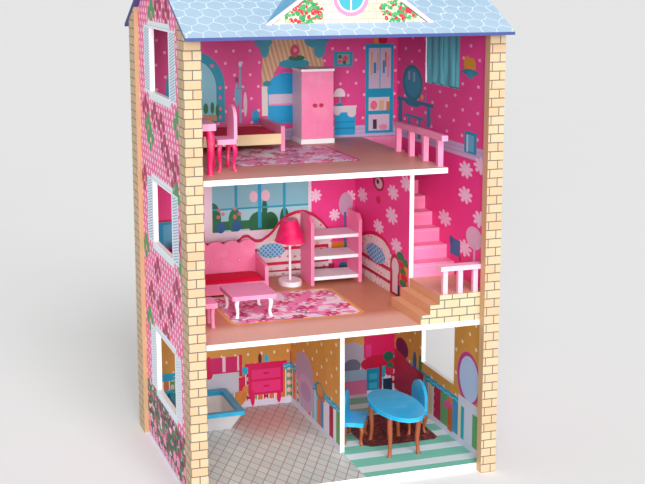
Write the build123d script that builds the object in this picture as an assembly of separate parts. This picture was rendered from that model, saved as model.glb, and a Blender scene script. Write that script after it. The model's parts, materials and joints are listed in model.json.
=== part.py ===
from build123d import *
import math
import os

# Driving dimensions, in millimetres. Places run from the house's left front bottom corner,
# and put() moves them to the origin, which is the middle of the base.
width = 600.0
depth = 483.0
board = 9.0
thin_board = 5.0
post_width = 31.0
post_depth = 20.0

base_thick = 13.4
slab_thick = 10.0
middle_floor = 301.0
top_floor = 596.5
slab_front = 20.0
stair_edge = 498.0

ridge_underside = 975.0
roof_overhang = 30.0
roof_side_overhang = 3.0
roof_rise = 135.0
roof_thick = 5.0

window_near = 159.0
window_far = 325.0
window_height = 121.0
window_sills = [126.5, 430.0, 725.0]
curtain_thick = 2.5
curtain_gap = 1.0

ground_divider = 337.0
ground_divider_front = 157.0
middle_divider = 486.0
middle_divider_front = 171.0

dormer_left = 147.0
dormer_right = 458.0
dormer_front = 8.0
dormer_apex = 975.0
dormer_thick = 4.0
fascia_width = 6.5

step_rise = 18.0
step_run = 19.0
landing_left = 486.0
front_board = 4.0

stair_steps = 9
stair_run = 37.5
stair_front = 168.0
stair_board = 5.0

sit_gap = 0.2

# legs: share of height, lean outwards and radius, from foot to head
chair_leg = [(0.0, 4.5, 3.9), (0.3, 2.0, 3.1), (0.7, 4.0, 4.2), (1.0, 1.0, 4.8)]
table_leg = [(0.0, 1.5, 6.4), (0.25, 0.5, 5.4), (0.75, 2.0, 7.4), (1.0, 0.0, 7.8)]
stool_leg = [(0.0, 1.0, 4.2), (0.3, 0.4, 3.7), (1.0, 0.5, 5.0)]
table_foot_leg = [(0.0, 3.5, 4.6), (0.12, 2.2, 3.7), (0.3, 1.2, 3.9), (0.75, 2.6, 5.2), (1.0, 0.5, 5.8)]

roof_slope = roof_rise / (depth / 2 + roof_overhang)
inner_left = board * 2
inner_right = width - board * 2
inner_back = depth - thin_board
landing_top = middle_floor + 3 * step_rise


def put(shape):
    """Move a shape from corner places to the origin at the middle of the base."""
    return Pos(-width / 2, -depth / 2, 0) * shape


def block(x, y, z):
    """A box between two values on each axis."""
    size = Box(x[1] - x[0], y[1] - y[0], z[1] - z[0])
    return Pos((x[0] + x[1]) / 2, (y[0] + y[1]) / 2, (z[0] + z[1]) / 2) * size


def rounded_block(x, y, z, radius, axis=Axis.Z):
    """A box with the four edges along one axis rounded."""
    shape = block(x, y, z)
    return fillet(shape.edges().filter_by(axis), radius)


def side_prism(points, x):
    """A prism along X of an outline given as (y, z) points."""
    outline = Plane.YZ * Polyline(*points, close=True)
    return Pos(x[0], 0, 0) * extrude(make_face(outline), x[1] - x[0], dir=(1, 0, 0))


def front_prism(points, y):
    """A prism along Y of an outline given as (x, z) points."""
    outline = Polyline(*[(px, y[0], pz) for px, pz in points], close=True)
    return extrude(make_face(outline), y[1] - y[0], dir=(0, 1, 0))


def under_roof(y):
    """Height of the roof's underside at a depth y."""
    return ridge_underside - roof_slope * abs(y - depth / 2)


def over_roof(y):
    """Height of the roof's top face at a depth y."""
    return under_roof(y) + roof_thick * math.sqrt(1 + roof_slope**2)


def save(name, pieces):
    """Write one node's solids to its STEP file."""
    solids = [put(piece) for piece in pieces]
    shape = solids[0] if len(solids) == 1 else Compound(children=solids)
    export_step(shape, os.path.join("parts", name + ".step"))


def floor_slabs():
    inside = (inner_left, inner_right)
    deep = (slab_front, inner_back)
    save("floor_base", [block(inside, deep, (0, base_thick))])
    save("floor_middle", [block(inside, deep, (middle_floor - slab_thick, middle_floor))])
    save("floor_top", [block((inner_left, stair_edge), deep, (top_floor - slab_thick, top_floor))])


def side_wall(name, x, sills):
    """A gable-ended side board with a window cut at each sill height."""
    outline = [(post_depth, 0), (depth, 0), (depth, under_roof(depth))]
    outline += [(depth / 2, ridge_underside), (post_depth, under_roof(post_depth))]
    wall = side_prism(outline, x)
    for sill in sills:
        wall -= block((x[0] - 1, x[1] + 1), (window_near, window_far), (sill, sill + window_height))
    save(name, [wall])


def corner_posts():
    """Front posts and the battens that cover the side walls' edges."""
    outline = [(0, 0), (post_depth, 0), (post_depth, under_roof(post_depth)), (0, under_roof(0))]
    save("front_post_left", [side_prism(outline, (0, post_width))])
    save("front_post_right", [side_prism(outline, (width - post_width, width))])
    battens = []
    for x in ((0, board), (width - board, width)):
        for y in ((post_depth, 46.0), (429.0, depth)):
            outline = [(y[0], 0), (y[1], 0), (y[1], under_roof(y[1])), (y[0], under_roof(y[0]))]
            battens.append(side_prism(outline, x))
    save("side_battens", battens)


def back_panels():
    inside = (inner_left, inner_right)
    save("back_panel_lower", [block(inside, (inner_back, depth), (0, middle_floor))])
    save("back_panel_upper", [block(inside, (inner_back, depth), (middle_floor, under_roof(depth)))])


def dividers():
    near = (ground_divider_front, inner_back)
    room = (base_thick, middle_floor - slab_thick)
    save("divider_ground", [block((ground_divider, ground_divider + board), near, room)])
    near = (middle_divider_front, inner_back)
    room = (middle_floor, top_floor - slab_thick)
    save("divider_middle", [block((middle_divider, middle_divider + board), near, room)])


def roof_panel(name, y):
    """One slope of the roof, from its eave to the ridge."""
    outline = [(y[0], under_roof(y[0])), (y[1], under_roof(y[1]))]
    outline += [(y[1], over_roof(y[1])), (y[0], over_roof(y[0]))]
    save(name, [side_prism(outline, (-roof_side_overhang, width + roof_side_overhang))])


def roof_body(x):
    """Everything below the front slope's top face, used to cut what stands on it."""
    near = -roof_overhang * 2
    outline = [(near, 0), (depth / 2, 0), (depth / 2, over_roof(depth / 2)), (near, over_roof(near))]
    return side_prism(outline, x)


def dormer():
    """A small cross gable standing on the front slope."""
    below = roof_body((dormer_left - 50, dormer_right + 50))
    middle = (dormer_left + dormer_right) / 2
    foot = over_roof(dormer_front)
    slope = (dormer_apex - foot) / (middle - dormer_left)
    lift = dormer_thick * math.sqrt(1 + slope**2)
    back = depth / 2
    panels = []
    strips = []
    for side in (-1, 1):
        eave = middle + side * (middle - dormer_left)
        outline = [(middle, dormer_apex), (eave, foot), (eave, foot - lift), (middle, dormer_apex - lift)]
        panels.append(front_prism(outline, (dormer_front, back)) - below)
        drop = fascia_width * math.sqrt(1 + slope**2)
        strip = [(middle, dormer_apex), (eave, foot), (eave, foot - drop), (middle, dormer_apex - drop)]
        strips.append(front_prism(strip, (dormer_front - 3, dormer_front)) - below)
    save("dormer_roof_panels", panels)
    save("dormer_fascia", strips)
    edge = lift / slope
    outline = [(dormer_left + edge, foot - 5), (middle, dormer_apex - lift)]
    outline += [(dormer_right - edge, foot - 5)]
    save("dormer_gable", [front_prism(outline, (dormer_front, dormer_front + thin_board)) - below])


def staircase():
    """The inner flight from the landing up to the top floor: one board per tread and riser."""
    rise = (top_floor - landing_top) / stair_steps
    risers = []
    treads = []
    for step in range(stair_steps):
        left = middle_divider + board if step < stair_steps - 1 else stair_edge
        across = (left, inner_right)
        front = stair_front + step * stair_run
        level = landing_top + step * rise
        risers.append(block(across, (front, front + stair_board), (level, level + rise - stair_board)))
        back = front + stair_run + stair_board if step < stair_steps - 1 else inner_back
        treads.append(block(across, (front, back), (level + rise - stair_board, level + rise)))
    save("stair_risers", risers)
    save("stair_treads", treads)


def entry_steps():
    """Two low steps from the living room up to the landing, with a stepped front board."""
    near = slab_front + front_board
    far = stair_front
    risers = []
    treads = []
    for step in range(3):
        left = landing_left + (step - 2) * step_run
        floor = middle_floor + step * step_rise
        risers.append(block((left, left + 4), (near, far), (floor, floor + step_rise - 4)))
        if step < 2:
            top = floor + step_rise
            treads.append(block((left, left + step_run + 4), (near, far), (top - 4, top)))
    save("entry_steps", risers + treads)
    save("landing_deck", [block((landing_left, inner_right), (near, far), (landing_top - 4, landing_top))])
    left = landing_left - 2 * step_run
    outline = [(inner_right, middle_floor), (inner_right, landing_top)]
    for step in (2, 1, 0):
        x = left + step * step_run
        outline.append((x, middle_floor + (step + 1) * step_rise))
        outline.append((x, middle_floor + step * step_rise))
    save("entry_front_board", [front_prism(outline, (slab_front, near))])


def railings():
    """The landing's front fence, and the rail beside the top floor's stairwell."""
    rail_top = landing_top + 54
    fence = [block((488, 576), (slab_front, slab_front + 22), (rail_top - 9, rail_top))]
    for x in (499, 530, 561):
        post = (x - 4.5, x + 4.5)
        fence.append(block(post, (slab_front + 4, slab_front + 13), (landing_top, rail_top - 9)))
    save("landing_fence", fence)
    rail_top = top_floor + 59
    rail = [block((stair_edge - 12, stair_edge), (slab_front + 2, 264), (rail_top - 10, rail_top))]
    for y in (45, 113, 181, 249):
        post = (y - 5, y + 5)
        rail.append(block((stair_edge - 11, stair_edge - 1), post, (top_floor, rail_top - 10)))
    save("top_railing", rail)


def curtains():
    """A pair of curtains hung in the top right window, kept as plain closed panels."""
    sill = window_sills[2]
    x = (inner_right + 3, inner_right + 3 + curtain_thick)
    middle = (window_near + window_far) / 2
    z = (sill + 1, sill + window_height)
    near = block(x, (window_near + 1, middle - curtain_gap / 2), z)
    far = block(x, (middle + curtain_gap / 2, window_far - 1), z)
    save("window_curtains", [near, far])


def wardrobe():
    """A two-door wardrobe on the top floor."""
    x = (340.0, 410.0)
    y = (405.0, 466.0)
    floor = top_floor + sit_gap
    height = 155.0
    knob_radius = 4.2
    wall = 4.0
    door = 4.0
    plinth = 10.0
    top_board = 5.0
    inner = (y[0] + door + 0.5, y[1])
    body = (floor + plinth, floor + height - top_board)
    sides = []
    for left in (x[0], x[1] - wall):
        sides.append(block((left, left + wall), inner, body))
    sides.append(block((x[0] + wall, x[1] - wall), (y[1] - 3, y[1]), body))
    save("wardrobe_carcass", sides)
    lip = 1.5
    over = (x[0] - lip, x[1] + lip)
    save("wardrobe_top", [block(over, (y[0] - lip, y[1]), (body[1], floor + height))])
    save("wardrobe_plinth", [block(over, (y[0] - lip, y[1]), (floor, body[0]))])
    middle = (x[0] + x[1]) / 2
    gap = 0.5
    leaf = (body[0] + gap, body[1] - gap)
    leaves = {"left": (x[0] + gap, middle - gap / 2), "right": (middle + gap / 2, x[1] - gap)}
    for side, span in leaves.items():
        save("wardrobe_door_" + side, [block(span, (y[0], y[0] + door), leaf)])
        knob_x = middle - 7 if side == "left" else middle + 7
        knob = Pos(knob_x, y[0] - 4.2, floor + 80) * Sphere(knob_radius)
        stem = Pos(knob_x, y[0] - 1.5, floor + 80) * Rot(90, 0, 0) * Cylinder(1.6, 3)
        save("wardrobe_knob_" + side, [knob + stem])


def bed():
    """A bed with low end boards, side rails and a mattress."""
    x = (84.0, 279.0)
    y = (326.0, 474.0)
    floor = top_floor + sit_gap
    end = 8.0
    boards = []
    for left in (x[0], x[1] - end):
        panel = block((left, left + end), y, (floor + 12, floor + 51))
        legs = block((left, left + end), (y[0], y[0] + 8), (floor, floor + 13))
        legs += block((left, left + end), (y[1] - 8, y[1]), (floor, floor + 13))
        boards.append(fillet((panel + legs).edges().filter_by(Axis.X).group_by(Axis.Z)[-1], 4))
    save("bed_end_boards", boards)
    inside = (x[0] + end, x[1] - end)
    rails = []
    for near in (y[0], y[1] - 5):
        rails.append(block(inside, (near, near + 5), (floor + 14, floor + 35)))
    save("bed_side_rails", rails)
    save("bed_base", [block(inside, (y[0] + 5, y[1] - 5), (floor + 14, floor + 19))])
    soft = (x[0] + end + 0.3, x[1] - end - 0.3)
    mattress = rounded_block(soft, (y[0] + 5.3, y[1] - 5.3), (floor + 19, floor + 36), 3)
    save("bed_mattress", [mattress])


def leg_set(x, y, z, profile):
    """Four round legs. The profile gives share of height, lean outwards and radius, foot first."""
    legs = []
    for i, lx in enumerate(x):
        for j, ly in enumerate(y):
            rings = []
            for share, lean, radius in profile:
                out_x = lean if i else -lean
                out_y = lean if j else -lean
                place = (lx + out_x, ly + out_y, z[0] + share * (z[1] - z[0]))
                rings.append(Plane(place) * Circle(radius))
            legs.append(loft(Sketch() + rings))
    return legs


def arched_back(x, y, z, arch):
    """A chair back in the YZ plane with a round top."""
    middle = (y[0] + y[1]) / 2
    spring = z[1] - arch
    sides = Polyline((y[0], spring), (y[0], z[0]), (y[1], z[0]), (y[1], spring))
    crown = ThreePointArc((y[1], spring), (middle, z[1]), (y[0], spring))
    face = make_face(Plane.YZ * (Curve() + [sides, crown]))
    return Pos(x[0], 0, 0) * extrude(face, x[1] - x[0], dir=(1, 0, 0))


def bedroom_set():
    """The round-backed chair and the dressing table by the left wall."""
    floor = top_floor + sit_gap
    seat = rounded_block((84, 122), (108, 162), (floor + 49, floor + 58), 4)
    back = arched_back((116, 122), (110, 160), (floor + 58, floor + 118), 25)
    save("bedroom_chair_seat", [seat, back])
    legs = leg_set((92, 114), (115, 155), (floor, floor + 49), chair_leg)
    save("bedroom_chair_legs", legs)
    top = rounded_block((22, 74), (70, 172), (floor + 80, floor + 92), 4)
    save("dressing_table_top", [top])
    legs = leg_set((33, 63), (82, 160), (floor, floor + 80), table_leg)
    save("dressing_table_legs", legs)


def scallop_top(x, z, bumps, rise):
    """The outline points and arcs of a back with a row of shallow bumps, in the XZ plane."""
    step = (x[1] - x[0]) / bumps
    edges = [Line((x[0], z[1]), (x[0], z[0])), Line((x[0], z[0]), (x[1], z[0]))]
    edges.append(Line((x[1], z[0]), (x[1], z[1])))
    for bump in range(bumps):
        right = x[1] - bump * step
        middle = (right - step / 2, z[1] + rise)
        edges.append(ThreePointArc((right, z[1]), middle, (right - step, z[1])))
    return edges


def sofa():
    """A box sofa with a scalloped back, high arms and one seat cushion."""
    x = (66.0, 248.0)
    y = (345.0, 428.0)
    floor = middle_floor + sit_gap
    arm = 7.0
    outline = scallop_top((x[0] + arm, x[1] - arm), (floor + 4, floor + 90), 5, 8)
    face = make_face(Plane.XZ * (Curve() + outline))
    back = Pos(0, y[1], 0) * extrude(face, 8, dir=(0, -1, 0))
    save("sofa_back", [back])
    inside = (x[0] + arm, x[1] - arm)
    frame = [block(inside, (y[0], y[0] + 6), (floor + 4, floor + 26))]
    frame.append(block(inside, (y[0] + 6, y[1] - 8), (floor + 14, floor + 20)))
    for left in (x[0], x[1] - arm):
        wing = [(y[0], floor), (y[1], floor), (y[1], floor + 68), (y[0] + 9, floor + 58)]
        wing += [(y[0] + 3, floor + 55), (y[0], floor + 49)]
        frame.append(side_prism(wing, (left, left + arm)))
    save("sofa_frame", frame)
    soft = (inside[0] + 0.3, inside[1] - 0.3)
    cushion = rounded_block(soft, (y[0] + 6.3, y[1] - 8.3), (floor + 20, floor + 33), 3)
    save("sofa_cushion", [cushion])


def small_tables():
    """The living room's coffee table and side stool."""
    floor = middle_floor + sit_gap
    save("coffee_table_top", [rounded_block((124, 214), (168, 268), (floor + 36, floor + 44), 5)])
    legs = leg_set((139, 199), (181, 255), (floor, floor + 36), chair_leg)
    save("coffee_table_legs", legs)
    save("side_stool_top", [rounded_block((30, 84), (120, 172), (floor + 39, floor + 48), 3)])
    legs = leg_set((40, 75), (129, 163), (floor, floor + 39), stool_leg)
    save("side_stool_legs", legs)


def floor_lamp():
    """A lamp with an oval foot, a thin pole and a solid oval shade."""
    floor = middle_floor + sit_gap
    centre = (313, 405)
    foot = extrude(Plane((centre[0], centre[1], floor)) * Ellipse(24, 33), 10)
    foot = fillet(foot.edges().group_by(Axis.Z)[-1], 3)
    pole = Pos(centre[0], centre[1], floor + 10 + 41) * Cylinder(2.6, 82)
    save("floor_lamp_stand", [foot, pole])
    brim = Plane((centre[0], centre[1], floor + 92)) * Ellipse(31, 42)
    crown = Plane((centre[0], centre[1], floor + 139)) * Ellipse(16, 22)
    shade = loft(Sketch() + [brim, crown])
    save("floor_lamp_shade", [shade])


def shelf_unit():
    """An open bookcase with two side boards and three shelves."""
    floor = middle_floor + sit_gap
    x = (349.0, 462.0)
    y = (372.0, 444.0)
    side = 7.0
    sides = []
    for left in (x[0], x[1] - side):
        outline = [(y[0], floor), (y[1], floor), (y[1], floor + 146), (y[0] + 14, floor + 146)]
        outline += [(y[0], floor + 134)]
        sides.append(side_prism(outline, (left, left + side)))
    save("shelf_unit_sides", sides)
    shelves = []
    for level in (10, 54, 98):
        inside = (x[0] + side, x[1] - side)
        shelves.append(block(inside, (y[0] + 3, y[1]), (floor + level, floor + level + 7)))
    save("shelf_unit_shelves", shelves)


def taper_block(x, y, z, inset):
    """A box whose foot is smaller than its top by an inset along each axis."""
    foot = Plane(((x[0] + x[1]) / 2, (y[0] + y[1]) / 2, z[0]))
    head = Plane(((x[0] + x[1]) / 2, (y[0] + y[1]) / 2, z[1]))
    low = foot * RectangleRounded(x[1] - x[0] - 2 * inset[0], y[1] - y[0] - 2 * inset[1], 6)
    high = head * RectangleRounded(x[1] - x[0], y[1] - y[0], 8)
    return loft(Sketch() + [low, high])


def bathtub():
    """A shallow tub with sloping ends and a flat rim."""
    floor = base_thick + sit_gap
    x = (62.0, 188.0)
    y = (316.0, 472.0)
    rim = 13.0
    rim_thick = 8.0
    height = 50.0
    lap = 4.0
    outside = (floor, floor + height - rim_thick)
    tub = taper_block((x[0] + lap, x[1] - lap), (y[0] + lap, y[1] - lap), outside, (13, 38))
    inside = (floor + 8, floor + height)
    hollow = taper_block((x[0] + rim, x[1] - rim), (y[0] + rim, y[1] - rim), inside, (10, 34))
    save("bathtub_body", [tub - hollow])
    edge = rounded_block(x, y, (floor + height - rim_thick, floor + height), 5)
    save("bathtub_rim", [edge - hollow])


def dining_chair(name, centre, turn):
    """A round-backed chair, its back towards -X before it is turned."""
    floor = base_thick + sit_gap
    place = Pos(centre[0], centre[1], 0) * Rot(0, 0, turn)
    seat = rounded_block((-22, 22), (-38, 38), (floor + 39, floor + 47), 5)
    back = arched_back((-22, -16), (-35, 35), (floor + 47, floor + 102), 26)
    save(name + "_seat", [place * seat, place * back])
    legs = leg_set((-14, 14), (-29, 29), (floor, floor + 39), chair_leg)
    save(name + "_legs", [place * leg for leg in legs])


def dining_set():
    """The oval dining table and its two chairs."""
    floor = base_thick + sit_gap
    oval = Plane((453, 153, floor + 82)) * Ellipse(48, 94)
    save("dining_table_top", [extrude(oval, 8)])
    legs = leg_set((423, 478), (104, 202), (floor, floor + 82), table_foot_leg)
    save("dining_table_legs", legs)
    dining_chair("dining_chair_left", (391, 217), -28)
    dining_chair("dining_chair_right", (523, 240), 180)


def main():
    os.makedirs("parts", exist_ok=True)
    floor_slabs()
    side_wall("side_wall_left", (board, inner_left), window_sills)
    side_wall("side_wall_right", (inner_right, width - board), [window_sills[0], window_sills[2]])
    corner_posts()
    back_panels()
    dividers()
    roof_panel("roof_panel_front", (-roof_overhang, depth / 2))
    roof_panel("roof_panel_back", (depth / 2, depth + roof_overhang))
    dormer()
    staircase()
    entry_steps()
    railings()
    curtains()
    wardrobe()
    bed()
    bedroom_set()
    sofa()
    small_tables()
    floor_lamp()
    shelf_unit()
    bathtub()
    dining_set()


main()
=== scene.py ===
import json
import math

import bmesh
import bpy
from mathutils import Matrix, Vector, noise


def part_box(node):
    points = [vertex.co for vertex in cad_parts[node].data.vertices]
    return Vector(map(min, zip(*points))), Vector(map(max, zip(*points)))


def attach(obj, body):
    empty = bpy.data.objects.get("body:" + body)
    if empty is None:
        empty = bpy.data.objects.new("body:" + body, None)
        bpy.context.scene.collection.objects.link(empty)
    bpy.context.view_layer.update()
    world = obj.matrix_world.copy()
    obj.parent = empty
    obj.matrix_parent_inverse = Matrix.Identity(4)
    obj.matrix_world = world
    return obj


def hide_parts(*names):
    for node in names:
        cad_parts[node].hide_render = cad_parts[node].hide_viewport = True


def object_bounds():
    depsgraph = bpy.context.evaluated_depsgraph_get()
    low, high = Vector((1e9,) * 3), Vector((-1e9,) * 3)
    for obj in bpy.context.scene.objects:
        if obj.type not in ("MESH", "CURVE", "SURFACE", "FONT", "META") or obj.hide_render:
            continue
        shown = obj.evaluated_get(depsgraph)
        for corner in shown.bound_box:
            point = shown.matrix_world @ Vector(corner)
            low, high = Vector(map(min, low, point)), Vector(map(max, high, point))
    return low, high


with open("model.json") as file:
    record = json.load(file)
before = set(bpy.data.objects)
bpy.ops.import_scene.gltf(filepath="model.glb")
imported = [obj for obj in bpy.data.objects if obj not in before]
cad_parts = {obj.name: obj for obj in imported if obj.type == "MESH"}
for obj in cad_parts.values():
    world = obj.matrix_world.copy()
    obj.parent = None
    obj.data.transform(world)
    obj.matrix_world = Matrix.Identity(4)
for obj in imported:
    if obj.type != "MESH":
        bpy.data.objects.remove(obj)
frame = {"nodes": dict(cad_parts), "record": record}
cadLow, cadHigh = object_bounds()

mm = 0.001
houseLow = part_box("front_post_left")[0]
wholeTurn = 2 * math.pi
corner = (-houseLow.x / mm, -houseLow.y / mm, 0.0)  # patterns count from the left front foot
houseMiddle = 300  # across the house, in the patterns' millimetres
deep = 0.5  # prints on the deep walls are drawn at this share, so they come out longer there


def tint(code):
    values = [int(code[i:i + 2], 16) / 255 for i in (1, 3, 5)]
    return tuple(v / 12.92 if v < 0.04045 else ((v + 0.055) / 1.055) ** 2.4 for v in values) + (1.0,)


def blend(under, over, mask):
    # each colour is a wire or a code
    under, over = (tint(value) if isinstance(value, str) else value for value in (under, over))
    return mask.coat.add("ShaderNodeMix", {"data_type": "RGBA"}, {0: mask, 6: under, 7: over}, 2)


def sign(operation):
    return lambda self, *others: self.math(operation, *others)


class Wire:
    # one value in a shader, so that sums read as sums
    def __init__(self, coat, socket):
        self.coat = coat
        self.socket = socket

    def math(self, operation, *others):
        return self.coat.add("ShaderNodeMath", {"operation": operation}, [self, *others])

    __add__ = __radd__ = sign("ADD")
    __sub__ = sign("SUBTRACT")
    __mul__ = __rmul__ = sign("MULTIPLY")
    __truediv__ = sign("DIVIDE")
    __mod__ = sign("FLOORED_MODULO")
    __lt__ = sign("LESS_THAN")
    __gt__ = sign("GREATER_THAN")
    __or__ = sign("MAXIMUM")
    __abs__ = sign("ABSOLUTE")
    floor = sign("FLOOR")
    fract = sign("FRACT")
    root = sign("SQRT")

    def __rsub__(self, other):
        return self.coat.add("ShaderNodeMath", {"operation": "SUBTRACT"}, [other, self])

    def between(self, low, high):
        return (self > low) * (self < high)

    def fade(self, low, high):
        return self.coat.add("ShaderNodeMapRange", {"interpolation_type": "SMOOTHSTEP"},
                             {"Value": self, "From Min": low, "From Max": high})


class Finish:
    # a material and the few ways to add to it
    def __init__(self, name, shine=0.5, **fixed):
        self.material = bpy.data.materials.new(name)
        self.material.use_nodes = True
        self.tree = self.material.node_tree
        self.tree.nodes.clear()
        self.shader = self.tree.nodes.new("ShaderNodeBsdfPrincipled")
        output = self.tree.nodes.new("ShaderNodeOutputMaterial")
        self.tree.links.new(self.shader.outputs[0], output.inputs[0])
        self.shader.inputs["Specular IOR Level"].default_value = shine
        for socket, value in fixed.items():
            self.shader.inputs[socket.replace("_", " ")].default_value = value
        place = self.add("ShaderNodeTexCoord", {}, {}, "Object")
        self.place = self.vector("MULTIPLY_ADD", place, (1 / mm, 1 / mm, 1 / mm), corner)
        self.x, self.y, self.z = self.split(self.place)

    def add(self, kind, settings, inputs, output=0):
        node = self.tree.nodes.new(kind)
        for key, value in settings.items():
            setattr(node, key, value)
        pairs = inputs.items() if isinstance(inputs, dict) else enumerate(inputs)
        for key, value in pairs:
            if isinstance(value, Wire):
                self.tree.links.new(value.socket, node.inputs[key])
            else:
                node.inputs[key].default_value = value
        return Wire(self, node.outputs[output])

    def vector(self, operation, *inputs):
        return self.add("ShaderNodeVectorMath", {"operation": operation}, inputs)

    def length(self, wire):
        return self.add("ShaderNodeVectorMath", {"operation": "LENGTH"}, [wire], "Value")

    def split(self, wire, kind="XYZ"):
        node = self.add("ShaderNodeSeparate" + kind, {}, [wire]).socket.node
        return [Wire(self, node.outputs[i]) for i in range(3)]

    def join(self, x, y, z=0.0):
        return self.add("ShaderNodeCombineXYZ", {}, [x, y, z])

    def ink(self, u, v):
        # places on a print, with the slight waver of a printed edge
        waver = (self.noise(0.25) - 0.5) * 0.8
        return self.join(u + waver, v - waver)

    def shade(self, colour, amount):
        # multiplies a colour by a grey value
        grey = self.add("ShaderNodeCombineColor", {}, [amount, amount, amount])
        return self.add("ShaderNodeMix", {"data_type": "RGBA", "blend_type": "MULTIPLY"},
                        {0: 1.0, 6: colour, 7: grey}, 2)

    def noise(self, scale, detail=2.0, rough=0.5, place=None):
        return self.add("ShaderNodeTexNoise", {}, {"Vector": place or self.place, "Scale": scale,
                                                   "Detail": detail, "Roughness": rough})

    def grain(self, stretch, detail, rough):
        # noise drawn out along the axis with the least stretch
        return self.noise(1.0, detail, rough, self.vector("MULTIPLY", self.place, stretch))

    def cells(self, place, scale, output="Distance"):
        return self.add("ShaderNodeTexVoronoi", {}, {"Vector": place, "Scale": scale}, output)

    def chance(self, x, y):
        # three random numbers for a cell
        colour = self.add("ShaderNodeTexWhiteNoise", {"noise_dimensions": "3D"},
                          {"Vector": self.join(x, y)}, "Color")
        return self.split(colour, "Color")

    def disc(self, across, up):
        return self.length(self.join(across, up)) < 1

    def facing(self):
        # which way a face looks: its direction along x, y and z
        return self.split(self.add("ShaderNodeTexCoord", {}, {}, "Normal"))

    def curve(self, wire, low, high, points):
        # a smooth line through points: the height at wire, both in millimetres
        node = self.add("ShaderNodeFloatCurve", {}, {"Value": (wire - low) / (high - low)})
        line = node.socket.node.mapping.curves[0]
        heights = [point[1] for point in points]
        floor, top = min(heights), max(heights)
        while len(line.points) < len(points):
            line.points.new(0.5, 0.5)
        for knot, (place, height) in zip(line.points, points):
            knot.location = ((place - low) / (high - low), (height - floor) / (top - floor))
        node.socket.node.mapping.update()
        return node * (top - floor) + floor

    def corners(self, radius):
        # 1 on edges and corners, where the paint is lighter: worn paint and a painted highlight of the
        # rounded edge
        soft = self.add("ShaderNodeBevel", {"samples": 4}, {"Radius": radius})
        sharp = self.add("ShaderNodeNewGeometry", {}, {}, "True Normal")
        same = self.add("ShaderNodeVectorMath", {"operation": "DOT_PRODUCT"}, [soft, sharp], "Value")
        return 1 - same.fade(0.86, 0.995)

    def lattice(self, u, v, wide, high):
        # half-drop rows: the place in a cell, and three random numbers for it
        row = (v / high).floor()
        across = u / wide + (row % 2) * 0.5
        a = (across.fract() - 0.5) * wide
        b = ((v / high).fract() - 0.5) * high
        return a, b, self.chance(across.floor(), row)

    def feed(self, **wires):
        for socket, wire in wires.items():
            self.tree.links.new(wire.socket, self.shader.inputs[socket.replace("_", " ")])

    def bump(self, height, strength, distance):
        return self.add("ShaderNodeBump", {}, {"Height": height, "Strength": strength, "Distance": distance})

    def printed(self, colour, gloss=0.42):
        # ink on board: faint dots of ink, uneven sheen and a slight fibre relief
        speck = self.noise(1.1, 2.0, 0.6)
        broad = self.noise(0.02)
        inked = self.shade(colour, 0.93 + speck * 0.1 + broad * 0.04)
        self.feed(Base_Color=inked, Roughness=gloss + broad * 0.12 + speck * 0.06,
                  Normal=self.bump(speck, 0.12, 0.0002))
        return self.material

    def painted(self, colour, gloss=0.3, edge="#FFFFFF", wearAndHighlight=0.35):
        # brushed paint on wood: long soft strokes, worn patches and lighter edges, the edges being worn paint
        # and a painted highlight together
        grain = self.grain((0.9, 0.9, 0.07), 3.0, 0.6)
        broad = self.noise(0.035, 3.0)
        spots = self.noise(0.6, 2.0, 0.7)
        # rim lays the edge colour along edges and corners: partly worn paint, partly a painted highlight
        rim = self.corners(0.0014) * (0.6 + broad * 0.8) * wearAndHighlight
        wornAndHighlit = blend(colour, "#FFFFFF", broad.fade(0.45, 0.75) * 0.08)
        wornAndHighlit = blend(wornAndHighlit, edge, rim)
        self.feed(Base_Color=self.shade(wornAndHighlit, 0.93 + grain * 0.09 + spots * 0.04),
                  Roughness=gloss + broad * 0.14 + grain * 0.08 + rim * 0.1,
                  Normal=self.bump(grain + spots * 0.5, 0.22, 0.0003))
        return self.material


def span(low, high):
    # the middle and half the size of a rectangle
    return ((high[0] + low[0]) / 2, (high[1] + low[1]) / 2), ((high[0] - low[0]) / 2, (high[1] - low[1]) / 2)


def spread(uv, centre, size):
    # places measured from a centre, 1 at the rim
    return uv.coat.vector("MULTIPLY_ADD", uv, (1 / size[0], 1 / size[1], 0),
                          (-centre[0] / size[0], -centre[1] / size[1], 0))


def oval(uv, centre, size):
    return uv.coat.length(spread(uv, centre, size)) < 1


def petals(across, up, turn):
    # an eight-petalled flower of radius 1
    angle = up.math("ARCTAN2", across) + turn
    petal = abs((angle * 4).math("COSINE"))
    return (across * across + up * up).root() < 0.26 + petal.root() * 0.74


def daisy(uv, centre, size):
    across, up, _ = uv.coat.split(spread(uv, centre, size))
    return petals(across, up, centre[0])


def bar(uv, low, high):
    # a rectangle from its low corner to its high corner
    across, up, _ = uv.coat.split(uv.coat.vector("ABSOLUTE", spread(uv, *span(low, high))))
    return (across | up) < 1


def after(colour, uv):
    # the same places, but worked out once the colour is: a wall with all its masks in hand turns black
    return uv.coat.vector("MULTIPLY_ADD", colour, (0.01, 0.01, 0), uv)


def draw(colour, uv, shapes):
    # lays flat printed shapes over a colour, first ones underneath; one without a code takes the last
    atOnce = 8
    for count, (kind, a, b, c, d, *own) in enumerate(shapes):
        code = own[0] if own else code
        if count % atOnce == 0:
            uv = after(colour, uv)
        colour = blend(colour, code, kind(uv, (a, b), (c, d)))
    return colour


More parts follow.
